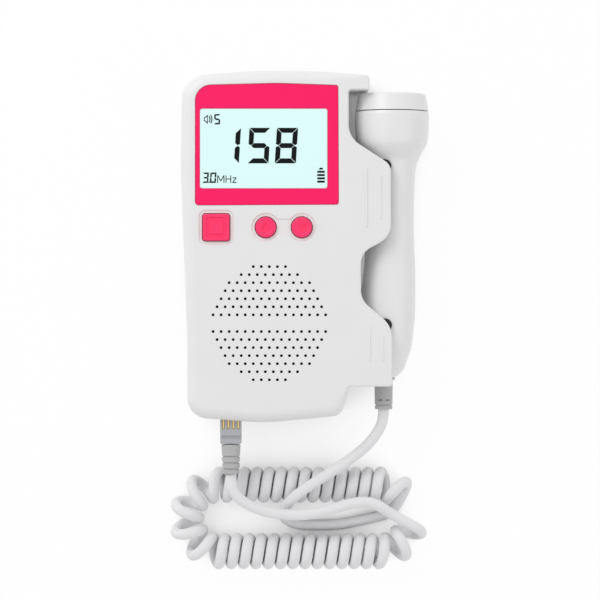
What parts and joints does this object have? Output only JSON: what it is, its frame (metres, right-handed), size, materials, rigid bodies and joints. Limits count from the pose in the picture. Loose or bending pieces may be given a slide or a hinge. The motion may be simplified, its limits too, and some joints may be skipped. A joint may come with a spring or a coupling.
{
  "type": "fetal doppler monitor",
  "caption": "Handheld fetal heartbeat monitor with a display, buttons and speaker, its ultrasound probe docked in a side cradle and joined by a curly lead.",
  "frame": {"origin": "on the surface that the monitor lies on, under the middle of the monitor and its docked probe, without the lead", "axes": "+Z out of the display face, +Y towards the top end, +X towards the probe's side"},
  "size_m": [0.1008, 0.1936, 0.0329],
  "materials": {
    "white_shell": "fine satin moulded white plastic",
    "pink_panel": "semi-gloss pink film",
    "pink_button": "satin pink plastic",
    "display": "clear window over a pale cyan lit display",
    "cord_jacket": "smooth white cord jacket",
    "grey_relief": "grey moulded boot",
    "clear_plug": "glossy translucent grey",
    "black_rubber": "matt black",
    "black_plastic": "matt black",
    "gold_contact": "gold plated",
    "steel": "bright steel",
    "circuit_board": "green lacquered board",
    "battery_sleeve": "glossy blue sleeve",
    "paper_cone": "dark pressed paper"
  },
  "bodies": {
    "monitor": {"front_housing": "white_shell", "rear_housing": "white_shell", "face_panel": "pink_panel", "display_window": "display", "lcd_glass": "display", "lcd_backlight": "white_shell", "main_board": "circuit_board", "power_switch": "black_plastic", "volume_up_switch": "black_plastic", "volume_down_switch": "black_plastic", "speaker_frame": "steel", "speaker_cone": "paper_cone", "speaker_magnet": "steel", "battery_1": "battery_sleeve", "battery_2": "battery_sleeve", "battery_spring_1": "steel", "battery_spring_2": "steel", "battery_contact_1": "steel", "battery_contact_2": "steel", "cord_socket": "black_plastic", "headphone_jack": "black_plastic", "housing_screw_1": "steel", "housing_screw_2": "steel", "housing_screw_3": "steel", "housing_screw_4": "steel", "cradle_pad_upper": "black_rubber", "cradle_pad_lower": "black_rubber", "plug_body": "clear_plug", "plug_contact_1": "gold_contact", "plug_contact_2": "gold_contact", "plug_contact_3": "gold_contact", "plug_contact_4": "gold_contact", "plug_boot": "grey_relief", "cord_lead_plug": "cord_jacket", "cord_coil": "cord_jacket", "cord_lead_probe": "cord_jacket"},
    "power_key": {"power_button": "pink_button"},
    "volume_up_key": {"volume_up_button": "pink_button"},
    "volume_down_key": {"volume_down_button": "pink_button"},
    "probe": {"probe_front_shell": "white_shell", "probe_rear_shell": "white_shell", "probe_head_cap": "white_shell", "transducer_disc": "gold_contact", "transducer_backing": "black_rubber", "probe_board": "circuit_board", "probe_strain_relief": "grey_relief"},
    "door": {"battery_door": "white_shell"}
  },
  "joints": [
    {"name": "power_press", "type": "slide", "parent": "monitor", "child": "power_key", "axis": [0, 0, -1], "range_m": [0, 0.0006], "stiffness_N_per_m": 2000},
    {"name": "volume_up_press", "type": "slide", "parent": "monitor", "child": "volume_up_key", "axis": [0, 0, -1], "range_m": [0, 0.0006], "stiffness_N_per_m": 2000},
    {"name": "volume_down_press", "type": "slide", "parent": "monitor", "child": "volume_down_key", "axis": [0, 0, -1], "range_m": [0, 0.0006], "stiffness_N_per_m": 2000},
    {"name": "probe_undock", "type": "slide", "parent": "monitor", "child": "probe", "axis": [1, 0, 0], "range_m": [0, 0.03]},
    {"name": "battery_door_slide", "type": "slide", "parent": "monitor", "child": "door", "axis": [0, -1, 0], "range_m": [0, 0.012]}
  ]
}
